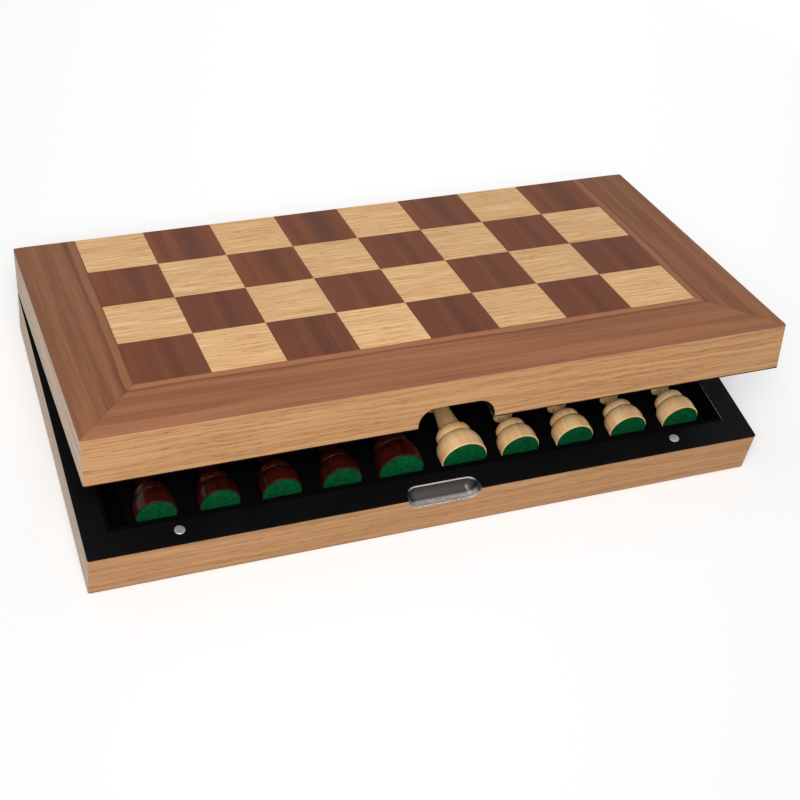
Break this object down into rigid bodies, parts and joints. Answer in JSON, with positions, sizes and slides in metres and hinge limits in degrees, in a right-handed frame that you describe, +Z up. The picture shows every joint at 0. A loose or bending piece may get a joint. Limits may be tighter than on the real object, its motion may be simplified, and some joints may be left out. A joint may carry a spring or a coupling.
{
  "type": "folding chess box",
  "caption": "Folding chess board box on rear hinges, lid ajar, half of the board outside each tray, chessmen lying in a black fitted insert.",
  "frame": {"origin": "middle of the base's underside, halfway between its front face and the hinge line", "axes": "+X along the long front, from the dark men's end to the light men's end; +Y from the front to the hinges; +Z up"},
  "size_m": [0.4, 0.2131, 0.1087],
  "materials": {
    "honey_oak": "satin varnished oak veneer",
    "pale_oak": "satin varnished oak veneer, paler",
    "core_board": "raw plywood",
    "walnut_border": "satin walnut veneer",
    "oak_squares": "satin oak veneer",
    "walnut_squares": "satin dark walnut veneer",
    "black_rim": "black matte leathercloth",
    "black_velvet": "black velvet",
    "satin_metal": "satin silver sheet metal",
    "magnet_nickel": "nickel plated",
    "hinge_brass": "satin brass",
    "hinge_steel": "ground steel pin",
    "green_felt": "green felt",
    "red_brown_lacquer": "glossy red-brown lacquer on turned wood",
    "boxwood": "satin varnished boxwood"
  },
  "bodies": {
    "base": {"base_front_wall": "honey_oak", "base_back_wall": "honey_oak", "base_left_wall": "pale_oak", "base_right_wall": "pale_oak", "base_panel": "core_board", "base_border_front": "walnut_border", "base_border_left": "walnut_border", "base_border_right": "walnut_border", "base_light_squares": "oak_squares", "base_dark_squares": "walnut_squares", "base_rim_lining": "black_rim", "base_insert": "black_velvet", "base_finger_cup": "satin_metal", "base_magnets": "magnet_nickel", "left_hinge_base_leaf": "hinge_brass", "left_hinge_pin": "hinge_steel", "right_hinge_base_leaf": "hinge_brass", "right_hinge_pin": "hinge_steel", "base_hinge_screws": "hinge_brass", "dark_king": "red_brown_lacquer", "dark_queen": "red_brown_lacquer", "dark_bishop_inner": "red_brown_lacquer", "dark_bishop_outer": "red_brown_lacquer", "dark_knight_inner": "red_brown_lacquer", "dark_knight_outer": "red_brown_lacquer", "dark_rook_inner": "red_brown_lacquer", "dark_rook_outer": "red_brown_lacquer", "dark_pawns": "red_brown_lacquer", "dark_felts": "green_felt", "light_king": "boxwood", "light_queen": "boxwood", "light_bishop_inner": "boxwood", "light_bishop_outer": "boxwood", "light_knight_inner": "boxwood", "light_knight_outer": "boxwood", "light_rook_inner": "boxwood", "light_rook_outer": "boxwood", "light_pawns": "boxwood", "light_felts": "green_felt"},
    "lid": {"lid_front_wall": "honey_oak", "lid_back_wall": "honey_oak", "lid_left_wall": "pale_oak", "lid_right_wall": "pale_oak", "lid_panel": "core_board", "lid_border_front": "walnut_border", "lid_border_left": "walnut_border", "lid_border_right": "walnut_border", "lid_light_squares": "oak_squares", "lid_dark_squares": "walnut_squares", "lid_rim_lining": "black_rim", "lid_lining": "black_velvet", "lid_magnets": "magnet_nickel", "left_hinge_lid_leaf": "hinge_brass", "right_hinge_lid_leaf": "hinge_brass", "lid_hinge_screws": "hinge_brass"}
  },
  "joints": [
    {"name": "lid_hinge", "type": "hinge", "parent": "base", "child": "lid", "pos_m": [0, 0.103, 0.029], "axis": [-1, 0, 0], "range_deg": [-14.5, 165.5]}
  ]
}
